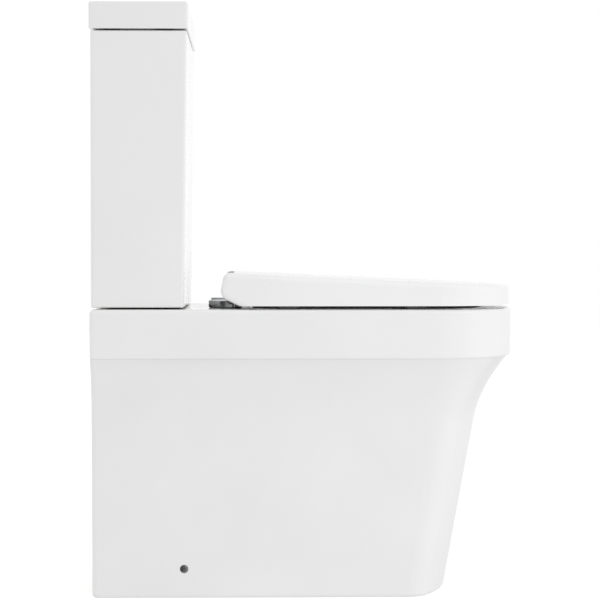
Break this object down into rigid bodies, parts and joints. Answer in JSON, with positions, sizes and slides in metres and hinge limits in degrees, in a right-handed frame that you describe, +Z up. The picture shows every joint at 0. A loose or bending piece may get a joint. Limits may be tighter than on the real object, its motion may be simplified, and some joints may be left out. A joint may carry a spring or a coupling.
{
  "type": "close coupled toilet",
  "caption": "Floor standing shrouded toilet pan with coved rim and leaning skirt, slim close coupled cistern with flush buttons, and a soft-close wrap-over seat.",
  "frame": {"origin": "on the floor, under the middle of the outline's box", "axes": "+X across, -Y to the front of the pan, +Y to the wall, +Z up"},
  "size_m": [0.36, 0.61, 0.846],
  "materials": {
    "glazed_china": "glossy white glaze",
    "seat_plastic": "glossy white thermoset",
    "chrome": "bright chrome plate",
    "zinc_steel": "zinc plated steel",
    "black_rubber": "matt black rubber",
    "foam_rubber": "dark foam rubber",
    "white_plastic": "moulded white plastic",
    "grey_plastic": "moulded grey plastic",
    "blue_plastic": "moulded blue plastic",
    "buffer_plastic": "soft milky plastic"
  },
  "bodies": {
    "pan": {"pan": "glazed_china", "pan_bowl": "glazed_china", "pan_trap": "glazed_china", "pan_flush_way": "glazed_china", "cistern": "glazed_china", "cistern_lid_pads": "black_rubber", "cistern_bolts": "zinc_steel", "bolt_seals": "black_rubber", "bolt_washers": "zinc_steel", "deck_washers": "black_rubber", "wing_nuts": "zinc_steel", "close_coupling_gasket": "foam_rubber", "valve_base": "white_plastic", "valve_base_seal": "black_rubber", "valve_back_nut": "white_plastic", "valve_tower": "grey_plastic", "valve_head": "blue_plastic", "fill_valve_body": "white_plastic", "fill_valve_seal": "black_rubber", "fill_valve_nut": "white_plastic", "fill_valve_head": "grey_plastic", "lever_pin": "zinc_steel", "hinge_posts": "chrome", "hinge_gaskets": "black_rubber", "hinge_pins": "zinc_steel", "hinge_studs": "zinc_steel", "hinge_washers": "black_rubber", "hinge_nuts": "white_plastic", "side_caps": "chrome", "side_screws": "zinc_steel", "side_sleeves": "white_plastic", "floor_brackets": "white_plastic"},
    "cistern_lid": {"cistern_lid": "glazed_china", "button_bezel": "chrome", "button_nut": "white_plastic", "full_flush_spring": "zinc_steel", "half_flush_spring": "zinc_steel"},
    "full_flush_button": {"full_flush_button": "chrome", "full_flush_rod": "white_plastic"},
    "half_flush_button": {"half_flush_button": "chrome", "half_flush_rod": "white_plastic"},
    "flush_lift": {"overflow_tube": "white_plastic", "valve_seal": "black_rubber"},
    "fill_float": {"fill_float": "blue_plastic", "float_rod": "grey_plastic"},
    "fill_lever": {"fill_lever": "grey_plastic"},
    "seat_ring": {"seat_ring": "seat_plastic", "ring_dampers": "grey_plastic", "ring_buffers": "buffer_plastic"},
    "seat_lid": {"seat_lid": "seat_plastic", "lid_dampers": "grey_plastic", "lid_buffers": "buffer_plastic"}
  },
  "joints": [
    {"name": "seat_ring_hinge", "type": "hinge", "parent": "pan", "child": "seat_ring", "pos_m": [0, 0.096, 0.438], "axis": [-1, 0, 0], "range_deg": [0, 93]},
    {"name": "seat_lid_hinge", "type": "hinge", "parent": "seat_ring", "child": "seat_lid", "pos_m": [0, 0.096, 0.438], "axis": [1, 0, 0], "range_deg": [-97, 0]},
    {"name": "cistern_lid_lift", "type": "slide", "parent": "pan", "child": "cistern_lid", "axis": [0, 0, 1], "range_m": [0, 0.2]},
    {"name": "full_flush_press", "type": "slide", "parent": "cistern_lid", "child": "full_flush_button", "axis": [0, 0, -1], "range_m": [0, 0.006], "stiffness_N_per_m": 300, "springref_m": -0.01, "deforming": ["full_flush_spring"]},
    {"name": "half_flush_press", "type": "slide", "parent": "cistern_lid", "child": "half_flush_button", "axis": [0, 0, -1], "range_m": [0, 0.006], "stiffness_N_per_m": 300, "springref_m": -0.01, "deforming": ["half_flush_spring"]},
    {"name": "flush_valve_lift", "type": "slide", "parent": "pan", "child": "flush_lift", "axis": [0, 0, 1], "range_m": [0, 0.015]},
    {"name": "fill_float_rise", "type": "slide", "parent": "pan", "child": "fill_float", "axis": [0, 0, 1], "range_m": [0, 0.012]},
    {"name": "fill_lever_turn", "type": "hinge", "parent": "pan", "child": "fill_lever", "pos_m": [0.122, 0.252, 0.7215], "axis": [-1, 0, 0], "range_deg": [0, 15]}
  ],
  "couplings": [
    {"joint": "flush_valve_lift", "follows": "full_flush_press", "ratio": 2.5},
    {"joint": "fill_lever_turn", "follows": "fill_float_rise", "rad_per_m": 21.277}
  ]
}
